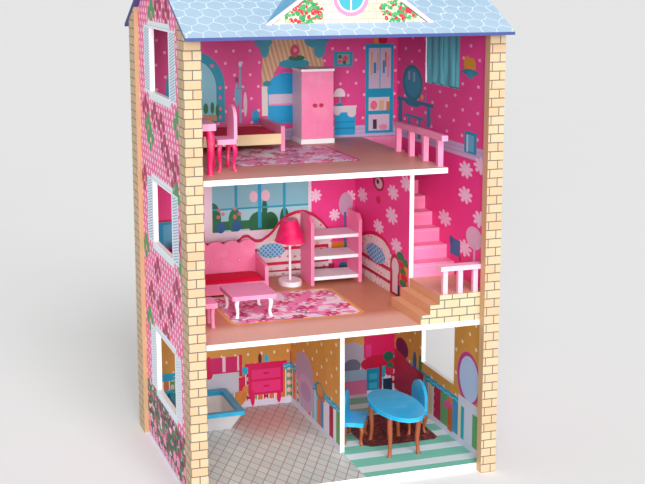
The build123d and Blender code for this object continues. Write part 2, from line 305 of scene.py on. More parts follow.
def bricks(coat, u, v, light="#D6BA98", dark="#C9A47C"):
    # brick print: cream stretchers with grey joints
    wall = {"long": 31.0, "high": 16.45, "joint": 1.0}
    row = (v / wall["high"]).floor()
    across = u / wall["long"] + (row % 2) * 0.5
    nearEnd = abs(across.fract() - 0.5) * wall["long"]
    nearBed = abs((v / wall["high"]).fract() - 0.5) * wall["high"]
    mortar = (nearEnd > wall["long"] / 2 - wall["joint"]) | (nearBed > wall["high"] / 2 - wall["joint"])
    pick = coat.chance(across.floor(), row)
    body = blend(light, dark, pick[0] * 0.6)
    speck = coat.noise(0.55, 3.0, 0.7)
    body = blend(body, "#CDA884", speck.fade(0.55, 0.8) * 0.3)
    return blend(body, "#6C625E", mortar)


def daisies(coat, colour, u, v):
    # scattered pale flowers, each a little off its cell's middle
    flower = {"wide": 78.0, "high": 62.0, "radius": 14, "strayAcross": 22, "strayUp": 18}
    a, b, pick = coat.lattice(u, v, flower["wide"], flower["high"])
    a = (a + (pick[0] - 0.5) * flower["strayAcross"]) / flower["radius"]
    b = (b + (pick[1] - 0.5) * flower["strayUp"]) / flower["radius"]
    return blend(colour, "#F3CFE4", petals(a, b, pick[2] * 3))


def spots(coat, colour, u, v, wide, high, ru, rv, code):
    # half-drop rows of small ovals
    a, b, pick = coat.lattice(u, v, wide, high)
    return blend(colour, code, coat.disc(a / ru + (pick[0] - 0.5), b / rv))


def pinkPaper(coat, light, dark, fleck):
    # crimson pink paper, faintly mottled
    broad = coat.noise(0.012)
    fine = coat.noise(0.35, 3.0, 0.7)
    return blend(light, dark, broad * 0.6 + fine * fleck)


def groundPaper(coat, u, v):
    # ochre paper with pale drops, a teal rail, a striped dado and a lilac skirting
    dado = {"high": 92.0, "stripe": 13.0, "rail": 14.0, "skirting": 27.0}
    broad = coat.noise(0.02)
    colour = blend("#DDA04C", "#CC8838", broad)
    colour = spots(coat, colour, u, v, 30.0, 24.0, 2.3, 3.9, "#F0DCC0")
    stripe = u / dado["stripe"]
    pick = coat.chance(stripe.floor(), 4.0)
    band = "#DDD6E8"
    for low, high, code in ((0.0, 0.22, "#A81440"), (0.22, 0.44, "#5FA458"), (0.44, 0.62, "#2C8CC0"),
                            (0.62, 0.74, "#D8743C"), (0.74, 0.86, "#E8CDA0")):
        band = blend(band, code, pick[0].between(low, high))
    band = blend(band, "#BFE3EE", ((v / 3.2).fract() > 0.5) * pick[0].between(0.44, 0.62))
    posy = coat.disc((stripe.fract() - 0.5) * 3, (v / 17).fract() * 3 - 1.5)
    band = blend(band, "#F4B8CC", posy * pick[0].between(0.0, 0.44))
    band = blend(band, "#F4EEF4", abs(stripe.fract() - 0.5) > 0.42)
    colour = blend(colour, band, v < dado["high"] + 3)
    wave = (u / 16.0 * wholeTurn).math("SINE") * 1.6
    low, high = dado["high"], dado["high"] + dado["rail"]
    colour = blend(colour, "#16A4CC", (v + wave).between(low, high))
    colour = blend(colour, "#A9E2EA", (v + wave).between(low + 5.5, low + 7.0))
    return blend(colour, "#DAD6E8", v < dado["skirting"])


def storeyPaper(coat, u, v):
    # the three wallpapers, one over the other
    levels = {"middle": 296.0, "top": 596.5, "skirting": 622.0, "groove": 8.5}
    middle = pinkPaper(coat, "#F4489C", "#E42A80", 0.5)
    colour = blend(groundPaper(coat, u, v), middle, v > levels["middle"])
    top = spots(coat, pinkPaper(coat, "#F050A0", "#DE3A82", 0.4), u, v, 36.0, 25.0, 3.0, 3.2, "#FBB4D2")
    colour = blend(colour, top, v > levels["top"])
    skirting = v.between(levels["top"], levels["skirting"])
    groove = abs((v - levels["top"]) / levels["groove"] % 1 - 0.5) > 0.42
    band = blend("#C9B3D6", "#AE93C2", groove)
    return blend(colour, band, skirting)


def flowerBed(coat, u, v):
    # dense border of leaves and blooms
    place = coat.join(u / 13.0, v / 8.0, 0.0)
    pick = coat.split(coat.cells(place, 1.0, "Color"), "Color")
    near = coat.cells(place, 1.0)
    colour = "#1F6B3D"
    for number, least, code in ((0, 0.36, "#44243C"), (0, 0.56, "#B8205C"), (0, 0.78, "#F07AAE"),
                                (1, 0.9, "#F4DCE8"), (2, 0.86, "#2F9A56")):
        colour = blend(colour, code, pick[number] > least)
    return coat.shade(colour, 1.15 - near * 0.6)


def shingles(coat, u, v):
    # pink tiles with slanting white dashes
    tile = {"wide": 22.0, "high": 13.0}
    pick = coat.lattice(u, v, tile["wide"], tile["high"])[2]
    broad = coat.noise(0.015, 3.0)
    colour = blend("#F0609E", "#E84A8C", broad)
    colour = blend(colour, "#F680B0", pick[0] * 0.8)
    a, b, _ = coat.lattice(u + v * 0.5, v, tile["wide"], tile["high"])
    dash = coat.disc((a - b * 0.5) / 4.2, b / 4.8)
    return blend(colour, "#FBE3EE", dash)


def ivy(colour, uv, vine):
    # hanging crimson petals and green leaves
    shapes = []
    for code, along, up in vine:
        wide, high = (13.0, 9.5) if code == "#A2184E" else (15.0, 10.0)
        for index, (shiftAlong, shiftUp) in enumerate(((0, 0), (21, -15), (-19, -14), (3, -31))):
            shapes.append((oval, along + shiftAlong, up + shiftUp,
                           wide * (1 - index * 0.1), high * (1.3 - index * 0.1), code))
    return draw(colour, uv, shapes)


windows = {"near": 159.0, "far": 325.0, "high": 121.0, "ground": 126.5, "middle": 430.0, "top": 725.0}


def windowTrim(colour, u, v, uv, sill, louvred):
    # printed shutters, lintel and sill round one window
    shutter = {"wide": 50.0, "gap": 4.0, "rail": 5.0, "slat": 5.4}
    board = {"frame": 5, "reach": 13, "sill": 16, "lintel": 14, "shadow": 1.2}
    near, far, top = windows["near"], windows["far"], sill + windows["high"]
    slats, strength = ("#7FA6C4", 0.9) if louvred else ("#B4CAE0", 0.6)
    uv = after(colour, uv)
    for low in (near - shutter["gap"] - shutter["wide"], far + shutter["gap"]):
        high = low + shutter["wide"]
        leaf = bar(uv, (low, sill - 4), (high, top + 4))
        field = bar(uv, (low + shutter["rail"], sill), (high - shutter["rail"], top))
        slat = ((v + u * 0.25) / shutter["slat"]).fract()
        body = blend("#E2ECF6", slats, (slat > 0.55) * field * strength)
        colour = blend(colour, body, leaf)
    rim = board["frame"]
    colour = blend(colour, "#EEF4F9", bar(uv, (near - rim, sill - rim), (far + rim, top + rim)))
    left, right = near - board["reach"], far + board["reach"]
    for low, high in ((sill - board["sill"], sill - 4), (top + 4, top + board["lintel"])):
        colour = blend(colour, "#E4EEF5", bar(uv, (left, low), (right, high)))
        colour = blend(colour, "#B4C8D8", bar(uv, (left, low), (right, low + board["shadow"])))
    return colour


def outerWall(coat, u, v, sills):
    # the printed outside of a gable wall
    petal, leaf = "#A2184E", "#3C9A50"
    bed = {"high": 112, "blooms": 52, "foot": 6, "ragged": 60, "middle": 240, "slant": 0.06}
    vine = [
        (petal, 375, 703), (petal, 292, 695), (leaf, 354, 669), (leaf, 334, 647), (petal, 233, 683),
        (petal, 206, 644), (petal, 179, 620), (petal, 117, 620), (petal, 126, 586), (leaf, 118, 566),
        (petal, 361, 331), (leaf, 384, 273), (petal, 279, 323), (petal, 183, 330), (petal, 129, 391),
        (petal, 231, 278), (petal, 297, 392), (leaf, 95, 700), (petal, 402, 560), (petal, 84, 480),
        (leaf, 78, 440), (petal, 240, 905), (leaf, 300, 890), (petal, 170, 892), (leaf, 404, 420)]
    uv = coat.ink(u, v)
    colour = ivy(shingles(coat, u, v), uv, vine)
    edge = coat.noise(0.06, 3.0, 0.6)
    planted = v + (edge - 0.5) * bed["ragged"] - (u - bed["middle"]) * bed["slant"] < bed["high"]
    colour = blend(colour, flowerBed(coat, u, v), planted)
    a, b, pick = coat.lattice(u, v, 30.0, 26.0)
    low = petals(a / 15, b / 12, pick[2] * 3) * (v < bed["blooms"]) * (pick[0] > 0.3)
    colour = blend(colour, "#F29AC0", low)
    colour = blend(colour, "#E0D4EA", v < bed["foot"])
    for name in sills:
        colour = windowTrim(colour, u, v, uv, windows[name], name != "ground")
    return colour


def rightWallPictures(coat, colour, u, v):
    # flowers and furniture drawn on the inside of the right wall
    uv = coat.ink(u, v)
    blooms = [(daisy, *place, 33, 17, "#F0CDE4") for place in (
        (122, 523), (217, 460), (121, 418), (54, 487), (122, 573), (55, 590), (200, 335), (60, 340),
        (330, 560), (410, 520))]
    shapes = [
        (bar, 222, 27, 253, 95, "#C0144C"), (bar, 188, 27, 222, 95, "#5FA068"),
        (bar, 163, 27, 188, 95, "#D8743C"), (bar, 136, 27, 163, 95, "#3C94C4"),
        (bar, 122, 27, 136, 95, "#E8D4B4"), (bar, 108, 27, 122, 95, "#18A4B8"),
        (bar, 70, 27, 108, 95, "#C8BCE0"), (bar, 30, 27, 70, 95, "#5FA468"),
        (oval, 393, 718, 55, 38, "#14808C"), (oval, 392, 718, 42, 30, "#2C94AC"),
        (bar, 406, 723, 417, 741, "#8FB4C8"), (bar, 379, 721, 390, 741), (bar, 448, 629, 470, 676, "#127C94"),
        (bar, 296, 634, 316, 681, "#1290B4"), (bar, 283, 675, 476, 683, "#127C98"), (oval, 393, 674, 41, 6),
        (bar, 331, 644, 431, 650, "#1290B4"), (bar, 403, 603, 417, 643), (bar, 347, 604, 360, 645),
        (oval, 341, 692, 7, 6, "#E0B040"), (bar, 316, 686, 325, 703, "#8C7CC0"),
        (oval, 124, 777, 16, 16, "#DC9C30"), (oval, 103, 776, 16, 14), (oval, 112, 762, 38, 6, "#1C8CA4"),
        (oval, 110, 757, 15, 7, "#1C9CB0"), (bar, 76, 607, 131, 649, "#1494B8"),
        (bar, 88, 611, 122, 643, "#62B4D4"), (bar, 114, 609, 122, 642, "#BCDCEC"),
        (bar, 141, 394, 188, 428, "#1F6CA0"), (bar, 175, 414, 191, 430, "#1F5C94"),
        (bar, 136, 387, 145, 399, "#C01040"), (oval, 79, 446, 36, 22, "#DCB8D0"),
        (bar, 72, 396, 81, 434, "#D0B0C8"), (oval, 434, 126, 36, 22, "#6C2050"),
        (oval, 362, 117, 10, 21, "#2C5C94"), (oval, 331, 120, 9, 20, "#3C7C40"),
        (bar, 313, 43, 477, 102, "#B80C38"), (oval, 183, 74, 22, 10, "#E05090"),
        (bar, 163, 23, 186, 72, "#C8602C"), (oval, 90, 160, 53, 54, "#C43888"),
        (oval, 88, 160, 44, 46, "#B4C6E6"), (bar, 35, 95, 136, 115, "#D4D4E6"), (bar, 69, 13, 106, 98)]
    colour = draw(colour, uv, blooms + shapes)
    arm = coat.curve(u, 300, 480, [(300, 50), (315, 78), (350, 96), (400, 104), (440, 112), (480, 114)])
    chair = (v < arm) * (v > 20) * u.between(306, 479)
    weave = ((u * deep + v) / 5.0).fract() > 0.6
    return blend(colour, blend("#B40C38", "#E04068", weave), chair)


def sideWallFinish(name, node, side, sills):
    coat = Finish(name, shine=0.4)
    low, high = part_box(node)
    middle = (low.x + high.x) / 2 / mm + corner[0]
    outside = (coat.x - middle) * side > 0
    inner = storeyPaper(coat, coat.y * deep, coat.z)
    if side > 0:
        inner = rightWallPictures(coat, inner, coat.y, coat.z)
    else:
        flowered = daisies(coat, inner, coat.y * deep, coat.z)
        inner = blend(inner, flowered, coat.z.between(310, 590))
    outer = outerWall(coat, coat.y, coat.z, sills)
    edge = abs(coat.facing()[0]) < 0.5
    colour = blend(blend(inner, outer, outside), "#F4F0F2", edge)
    return coat.printed(colour)


def fibreBack(coat, colour):
    # the back panels' outer face: bare pressed board with fine fibres
    fibre = coat.grain((0.25, 1.0, 0.9), 4.0, 0.7)
    fleck = coat.noise(0.5, 3.0, 0.8)
    board = blend("#CDA987", "#B48C68", fibre * 0.7 + fleck.fade(0.55, 0.75) * 0.3)
    return coat.printed(blend(colour, board, coat.facing()[1] > 0.5))


def backLowerFinish():
    # ground floor back wall: bathroom on the left, sitting room on the right
    coat = Finish("backWallLower", shine=0.4)
    u, v = coat.x, coat.z
    shapes = [
        (bar, 37, 91, 73, 107, "#18A8D0"), (bar, 43, 55, 73, 70), (bar, 148, 49, 224, 95, "#D0CCDA"),
        (bar, 147, 95, 226, 131, "#D21468"), (bar, 182, 98, 189, 133, "#F0C8D4"), (bar, 215, 98, 219, 131),
        (bar, 147, 93, 155, 135, "#D8004C"), (bar, 219, 84, 226, 133), (oval, 152, 94, 8, 10),
        (bar, 218, 51, 233, 82), (bar, 226, 88, 238, 103, "#10B0DC"), (oval, 220, 35, 12, 17, "#E08C3C"),
        (oval, 234, 52, 8, 10), (oval, 230, 38, 6, 10, "#D8803C"), (oval, 251, 122, 4, 10, "#E09030"),
        (oval, 266, 120, 4, 12, "#6C1030"), (oval, 281, 118, 5, 11, "#20B4DC"),
        (bar, 239, 38, 319, 104, "#E0005C"), (bar, 232, 103, 328, 111), (bar, 247, 74, 313, 96, "#F02C80"),
        (bar, 247, 44, 313, 69), (bar, 274, 84, 287, 88, "#D00050"), (bar, 274, 55, 287, 59),
        (oval, 249, 32, 5, 18, "#E0005C"), (oval, 309, 30, 5, 14), (bar, 335, 98, 340, 133, "#B01040"),
        (oval, 480, 102, 36, 34, "#B4A4B8"), (oval, 480, 80, 20, 17, "#6C6880"),
        (bar, 457, 46, 515, 71, "#8FA4BC"), (bar, 457, -27, 516, 46, "#C8648C"),
        (bar, 508, 96, 585, 147, "#D80858"), (bar, 512, 99, 526, 127, "#E03080"),
        (oval, 544, 82, 43, 19, "#C40038"), (bar, 515, 20, 545, 71, "#1288B0"),
        (bar, 521, 45, 540, 59, "#35A8CC"), (bar, 521, 24, 540, 38), (bar, 551, 49, 560, 74, "#18A0B8"),
        (bar, 545, 13, 552, 73, "#A80C30"), (oval, 567, 96, 12, 12, "#1A5C48"),
        (oval, 571, 72, 8, 10, "#1A6C50"), (oval, 570, 60, 10, 10, "#C02850"),
        (bar, 555, 13, 577, 44, "#103450")]
    return fibreBack(coat, draw(storeyPaper(coat, u, v), coat.ink(u, v), shapes))


def paintedCouch(coat, colour, u, v, line, span, foot):
    # a printed couch with a crimson rim that follows a curve
    top = coat.curve(u, span[0], span[1], line)
    inside = (v < top) * (v > foot) * u.between(span[0], span[1])
    a, b, pick = coat.lattice(u, v, 17.0, 13.0)
    posy = coat.disc((a + pick[0] * 5) / 3.4, (b + pick[1] * 3) / 2.6)
    cover = blend("#E8DADC", "#E07C9C", posy * (pick[2] > 0.4))
    cover = blend(cover, "#D8C890", posy * (pick[2] < 0.25))
    colour = blend(colour, cover, inside)
    return blend(colour, "#D20A4C", inside * (v > top - 7.5))


def checks(colour, uv, centre, size):
    # a blue cushion with paler checks
    across, up, _ = uv.coat.split(uv)
    lines = (((across + up) / 10).fract() < 0.34) | (((across - up) / 10).fract() < 0.34)
    cloth = blend("#2F8CC4", "#9CC8E0", lines)
    return blend(colour, cloth, oval(uv, centre, size))


def backUpperFinish():
    # living room below, bedroom above
    coat = Finish("backWallUpper", shine=0.4)
    u, v = coat.x, coat.z
    uv = coat.ink(u, v)
    livingRoom = [
        (daisy, 395, 473, 14, 15, "#F3CFE4"), (daisy, 438, 428, 13, 14), (daisy, 474, 466, 13, 15),
        (daisy, 147, 426, 12, 13), (daisy, 60, 530, 14, 15), (daisy, 110, 470, 14, 15),
        (daisy, 428, 540, 14, 15), (daisy, 520, 500, 14, 15), (daisy, 556, 420, 14, 15),
        (daisy, 536, 560, 14, 15), (daisy, 104, 560, 14, 15), (bar, 38, 436, 83, 441, "#C4104C"),
        (bar, 38, 379, 83, 436, "#12A0D0"), (bar, 59, 380, 83, 430, "#5CB8D8"),
        (bar, 38, 370, 83, 377, "#B01040"), (bar, 155, 385, 385, 530, "#E8DAE6"),
        (bar, 165, 407, 378, 516, "#7FBECB"), (bar, 165, 407, 378, 453, "#A0D4DA"),
        (oval, 166, 431, 18, 39, "#0E6B40"), (bar, 165, 410, 304, 429, "#14703C"),
        (oval, 266, 420, 22, 26, "#12683C"), (oval, 280, 452, 6, 20, "#0E6438"), (oval, 292, 420, 18, 24),
        (oval, 324, 428, 10, 24), (oval, 214, 429, 14, 27, "#1B7C48"), (oval, 256, 479, 9, 12, "#E4C0CC"),
        (oval, 282, 480, 10, 12), (bar, 214, 454, 220, 511, "#129CBC"), (bar, 265, 411, 273, 516, "#10A4D4"),
        (bar, 321, 433, 327, 513, "#129CBC"), (bar, 165, 453, 378, 457), (bar, 155, 385, 385, 406, "#E8DAE6"),
        (bar, 148, 385, 165, 530), (oval, 183, 416, 10, 12, "#1F5C94"), (oval, 218, 418, 11, 12),
        (oval, 180, 454, 4, 4, "#C86878"), (oval, 188, 445, 4, 4, "#D07C84"),
        (oval, 178, 439, 4, 4, "#C86878"), (oval, 214, 456, 4, 4, "#D07C84"),
        (oval, 224, 444, 4, 4, "#C86878"), (oval, 214, 438, 4, 5)]
    couchLines = [
        (bar, 252, 358, 424, 365, "#D20A4C"), (bar, 252, 326, 424, 333), (bar, 252, 311, 424, 315, "#B81050"),
        (bar, 252, 301, 424, 304, "#C8B8C8"), (oval, 464, 450, 16, 26, "#C8A8C4"),
        (bar, 460, 338, 465, 433, "#3C6C9C"), (bar, 431, 351, 460, 368, "#D87C28"),
        (bar, 460, 352, 467, 367, "#147878"), (bar, 424, 309, 438, 321, "#B01840"),
        (oval, 458, 314, 10, 8, "#146C80")]
    bedroom = [
        (oval, 134, 714, 62, 73, "#1B9AB4"), (bar, 71, 640, 196, 714), (oval, 130, 710, 48, 60, "#8CCBD8"),
        (bar, 82, 656, 178, 710), (oval, 155, 670, 5, 11, "#1E7A4A"), (oval, 169, 671, 4, 12),
        (oval, 180, 665, 4, 13), (bar, 145, 644, 178, 655, "#D2996A"), (oval, 186, 712, 3, 4, "#F06A9C"),
        (oval, 186, 692, 3, 4), (oval, 186, 669, 3, 4), (oval, 186, 651, 3, 4), (oval, 170, 758, 4, 4),
        (bar, 227, 637, 232, 759, "#8FA4C0"), (oval, 230, 760, 4, 6, "#C9DCE4"),
        (oval, 222, 696, 5, 24, "#6FB0D0"), (oval, 240, 676, 4, 26, "#E8C4D6"),
        (bar, 221, 708, 241, 711, "#6F93B4"), (oval, 222, 728, 4, 6, "#7C4A7C"),
        (oval, 280, 805, 20, 12, "#3C9CB0"), (oval, 283, 790, 10, 18), (oval, 397, 806, 27, 16),
        (oval, 404, 788, 13, 20), (oval, 330, 704, 42, 36, "#0FA4DA"), (bar, 289, 633, 363, 708),
        (bar, 291, 675, 363, 695, "#DCC8DC"), (bar, 291, 671, 363, 675, "#F08CB4"),
        (oval, 262, 649, 8, 15, "#0E9CCC"), (oval, 348, 758, 34, 10, "#1F94AC"),
        (oval, 353, 770, 18, 6, "#1E6B46"), (oval, 349, 785, 10, 13, "#D23C64"),
        (oval, 350, 786, 4, 4, "#E89098"), (oval, 288, 718, 9, 6, "#1F8FA4"),
        (bar, 436, 749, 479, 781, "#149CB4"), (bar, 445, 754, 472, 776, "#8FA49C"),
        (oval, 462, 766, 6, 6, "#DC4870"), (oval, 449, 760, 5, 4), (oval, 450, 770, 4, 4, "#1E6B46"),
        (oval, 460, 758, 4, 4), (oval, 449, 689, 13, 14, "#EFE0E6"), (bar, 433, 672, 464, 685, "#E4387C"),
        (bar, 448, 668, 452, 685, "#2FA0C0"), (oval, 449, 667, 9, 4, "#1583B4"),
        (bar, 438, 602, 485, 652, "#0EA8DC"), (bar, 438, 629, 484, 631, "#0C84B4"), (bar, 438, 615, 484, 618),
        (bar, 436, 651, 487, 665, "#E4D8DC"), (oval, 444, 652, 8, 7), (oval, 477, 649, 10, 9),
        (oval, 532, 804, 5, 12, "#E0962C"), (oval, 548, 806, 10, 12, "#C01038"),
        (bar, 508, 603, 573, 796, "#129CC0"), (bar, 516, 700, 567, 787, "#CDBCD2"),
        (bar, 520, 729, 525, 779, "#E0A070"), (bar, 527, 733, 533, 756, "#1C8CC0"),
        (bar, 535, 738, 538, 776, "#E09A50"), (bar, 548, 733, 553, 760, "#1C8CC0"),
        (bar, 553, 746, 557, 778, "#D07040"), (bar, 559, 723, 563, 771, "#D890B0"),
        (bar, 540, 701, 543, 787, "#6FB4D0"), (bar, 516, 652, 564, 681, "#E2CCD8"),
        (oval, 528, 664, 8, 10, "#F07090"), (bar, 540, 653, 552, 674, "#D8B890"),
        (bar, 557, 652, 564, 671, "#D87838"), (bar, 516, 609, 564, 644, "#DCC6DA"),
        (bar, 526, 612, 535, 633, "#4C2C40"), (oval, 550, 616, 10, 6, "#E88CB0")]
    couchTop = [
        (215, 384), (224, 391), (238, 398), (252, 391), (265, 386), (281, 392), (297, 404), (316, 425),
        (339, 440), (362, 444), (381, 439), (400, 427), (417, 410), (431, 392)]
    colour = draw(storeyPaper(coat, u, v), uv, livingRoom)
    colour = paintedCouch(coat, colour, u, v, couchTop, (213, 432), 300)
    colour = checks(draw(colour, uv, couchLines), uv, (294, 359), (30, 16))
    canopyTop = [
        (275, 700), (278, 765), (283, 790), (298, 808), (327, 817), (361, 819), (388, 812), (402, 793),
        (411, 762), (416, 700)]
    canopyFoot = [
        (275, 640), (292, 650), (297, 718), (309, 749), (325, 764), (348, 766), (370, 764), (384, 749),
        (395, 718), (400, 650), (416, 640)]
    canopy = (v < coat.curve(u, 275, 416, canopyTop)) * (v > coat.curve(u, 275, 416, canopyFoot))
    fold = ((u * 0.9 + v * 0.25) / 9 * wholeTurn).math("SINE").fade(-0.6, 1)
    cream = blend(blend("#CE9C74", "#E2C09A", fold), "#EFE2DA", v < 712)
    colour = blend(colour, cream, canopy * (v > 650) * u.between(276, 415))
    return fibreBack(coat, draw(colour, uv, bedroom))


def dividerFinish(name, under, over, couch=None):
    # a printed room divider with a white front edge
    coat = Finish(name, shine=0.4)
    u, v = coat.y, coat.z
    uv = coat.ink(u, v)
    colour = draw(storeyPaper(coat, u * deep, v), uv, under)
    if couch:
        colour = paintedCouch(coat, colour, u, v, couch, (248, 478), 300)
    colour = draw(colour, uv, over)
    if couch:
        colour = checks(colour, coat.ink(u * deep, v), (354 * deep, 365), (56 * deep, 19))
    edge = abs(coat.facing()[0]) < 0.5
    return coat.printed(blend(colour, "#FBFAFB", edge))


def rugPattern(coat, u, v, cell):
    # large woven flowers in crimson, pink and white
    wide = cell * 1.3
    ground = coat.noise(1.2, 1.0, 0.4, coat.join(u / cell, v / cell, 2.0))
    colour = blend("#F4E6F2", "#F48ABC", ground.fade(0.47, 0.49))
    blooms = ((0.0, 0.42, "#F79AC4", "#F6D8E8"), (0.35, 0.3, "#D01058", "#F4C8DC"),
              (0.7, 0.36, "#F4E4F0", "#E85C9C"), (0.52, 0.24, "#E8408C", "#FBE8F2"))
    for shift, size, code, heart in blooms:
        a, b, pick = coat.lattice(u + shift * wide, v + shift * cell * 1.7, wide, cell)
        a, b = a + (pick[0] - 0.5) * cell * 0.3, b + (pick[1] - 0.5) * cell * 0.2
        radius = (a * a + b * b).root() / cell
        petal = abs(((b.math("ARCTAN2", a) + pick[2] * 3) * 2.5).math("COSINE"))
        colour = blend(colour, code, radius < size * (0.5 + petal * 0.5))
        colour = blend(colour, heart, radius < size * 0.28)
    stem = abs(coat.noise(0.02, 1.0) - 0.5) < 0.008
    colour = blend(colour, "#7C2C70", stem * 0.8)
    thread = coat.noise(0.9, 2.0, 0.7)
    return coat.shade(colour, 0.9 + thread * 0.2)


def boards(coat, light, dark):
    # long fine wood grain across the floor
    grain = coat.grain((0.03, 0.4, 0.4), 5.0, 0.65)
    broad = coat.noise(0.008)
    fleck = coat.grain((0.12, 1.1, 1.1), 3.0, 0.7)
    return blend(light, dark, grain * 0.6 + broad * 0.2 + (fleck - 0.4) * 0.7)


def rugMask(u, v, low, high, cut):
    # a rectangle with its corners cut off
    middle, half = span(low, high)
    across, along = abs(u - middle[0]), abs(v - middle[1])
    inside = (across < half[0]) * (along < half[1])
    return inside * (across + along < half[0] + half[1] - cut)


def slabEdge(coat, colour):
    # white paint on a slab's edges and underside
    return coat.printed(blend(colour, "#F8F7F8", coat.facing()[2] < 0.5), 0.36)


def topFloorFinish():
    coat = Finish("bedroomFloor", shine=0.45)
    u, v = coat.x, coat.y
    # lighter towards the open front, where the light comes in: painted light
    colour = blend(boards(coat, "#DC9E8C", "#BC745C"), "#E6B4A4", (130 - v).fade(0, 90) * 0.7)
    rug = rugMask(u, v, (134, 152), (380, 388), 10)
    colour = blend(colour, "#C4306C", rug)
    rug = rugMask(u, v, (139, 157), (375, 383), 8)
    return slabEdge(coat, blend(colour, rugPattern(coat, u, v, 48), rug))


def middleFloorFinish():
    coat = Finish("livingFloor", shine=0.45)
    u, v = coat.x, coat.y
    # lighter towards the open front, where the light comes in: painted light
    colour = blend(boards(coat, "#D49070", "#B26A48"), "#EAC0AC", (150 - v).fade(0, 60) * 0.85)
    rug = rugMask(u, v, (113, 128), (383, 352), 16)
    wave = ((u + v) / 7).fract() > 0.5
    colour = blend(colour, blend("#E0963C", "#EBB060", wave), rug)
    rug = rugMask(u, v, (121, 138), (375, 342), 12)
    return slabEdge(coat, blend(colour, rugPattern(coat, u, v, 54), rug))


def groundFloorFinish():
    # bathroom tiles on the left, mint stripes and a mosaic rug on the right
    coat = Finish("groundFloor")
    u, v = coat.x, coat.y
    plan = {"tile": 24.0, "joint": 0.045, "stripe": 69.0, "divider": 341}
    p, q = (u + v * deep) / plan["tile"], (u - v * deep) / plan["tile"]
    line = (abs(p.fract() - 0.5) > 0.5 - plan["joint"]) | (abs(q.fract() - 0.5) > 0.5 - plan["joint"])
    pick = coat.chance(p.floor(), q.floor())
    tile = blend("#D6D9D8", "#C6CCCB", pick[0])
    # a soft pink patch on the tiles towards the back of the bathroom: painted reflection of pink light
    pinkReflectionReach = coat.length(coat.join((u - 255) / 100, (v - 380) / 130))
    tile = blend(tile, "#DDA7A6", (1.15 - pinkReflectionReach).fade(0, 1) * 0.8)
    tile = blend(tile, "#A98E7E", line)
    stripe = (v / plan["stripe"]).fract()
    mint = blend("#E4EEF0", "#7CCBB4", stripe.between(0.05, 0.62))
    pick = coat.split(coat.cells(coat.place, 0.2, "Color"), "Color")
    dark = blend("#6C2C2C", "#A04444", pick[0] > 0.7)
    dark = blend(dark, "#3C1C24", pick[1] > 0.7)
    mint = blend(mint, dark, rugMask(u, v, (396, 165), (556, 340), 12))
    return slabEdge(coat, blend(tile, mint, u > plan["divider"]))


def brickPostFinish(name, kind):
    # brick print on the faces seen from outside, bare wood on the others
    coat = Finish(name, shine=0.35)
    nx, _, nz = coat.facing()
    shades = ("#D0C4A2", "#C4B48C") if kind == "board" else ("#D6BA98", "#C9A47C")
    front = bricks(coat, coat.x, coat.z, *shades)
    # the side faces take a darker copy of the front bricks: painted shade
    side = bricks(coat, coat.y + 5, coat.z, "#CDB088", "#C0A078")
    colour = blend(front, side, abs(nx) > 0.5)
    grain = coat.grain((0.5, 0.5, 0.02), 4.0, 0.6)
    wood = blend("#D8B48C", "#C0946A", grain)
    toMiddle = (coat.x - houseMiddle) * nx < 0
    bare = (toMiddle * (abs(nx) > 0.5)) | (abs(nz) > 0.5)
    if kind == "battens":
        bare = bare | (abs(nx) < 0.5)
    return coat.printed(blend(colour, wood, bare))


def hexScales(coat, colour, u, v, size, line, code):
    # honeycomb outlines, slightly wavy
    sway = coat.noise(0.045) - 0.5
    px, py = u / size + sway * 0.5, v / size - sway * 0.5
    tall = 3 ** 0.5
    ax, ay = px % 1 - 0.5, py % tall - tall / 2
    bx, by = (px - 0.5) % 1 - 0.5, (py - tall / 2) % tall - tall / 2
    first = (ax * ax + ay * ay) < (bx * bx + by * by)
    gx, gy = abs(ax * first + bx * (1 - first)), abs(ay * first + by * (1 - first))
    rim = gx | (gx * 0.5 + gy * tall / 2)
    return blend(colour, code, rim > 0.5 - line / size)


def roofFinish():
    # pale blue scales above, navy below and on the edges
    coat = Finish("roofScales", shine=0.45)
    low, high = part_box("roof_panel_front")
    slope = (high.z - low.z) / (cadHigh.y - cadLow.y) * 2
    broad = coat.noise(0.01)
    colour = blend("#9DBAD2", "#AEC8DC", broad)
    along = coat.y * math.sqrt(1 + slope * slope)
    colour = hexScales(coat, colour, coat.x, along, 30.0, 0.9, "#D6E6F2")
    return coat.printed(blend(colour, "#3C4A8C", coat.facing()[2] < 0.5), 0.4)


def dormerRoofFinish():
    coat = Finish("dormerRoof", shine=0.45)
    broad = coat.noise(0.02)
    colour = blend("#5FA9D6", "#6FB8E0", broad)
    colour = hexScales(coat, colour, coat.x * 1.2, coat.y, 30.0, 0.6, "#8CC8E8")
    return coat.printed(colour, 0.4)


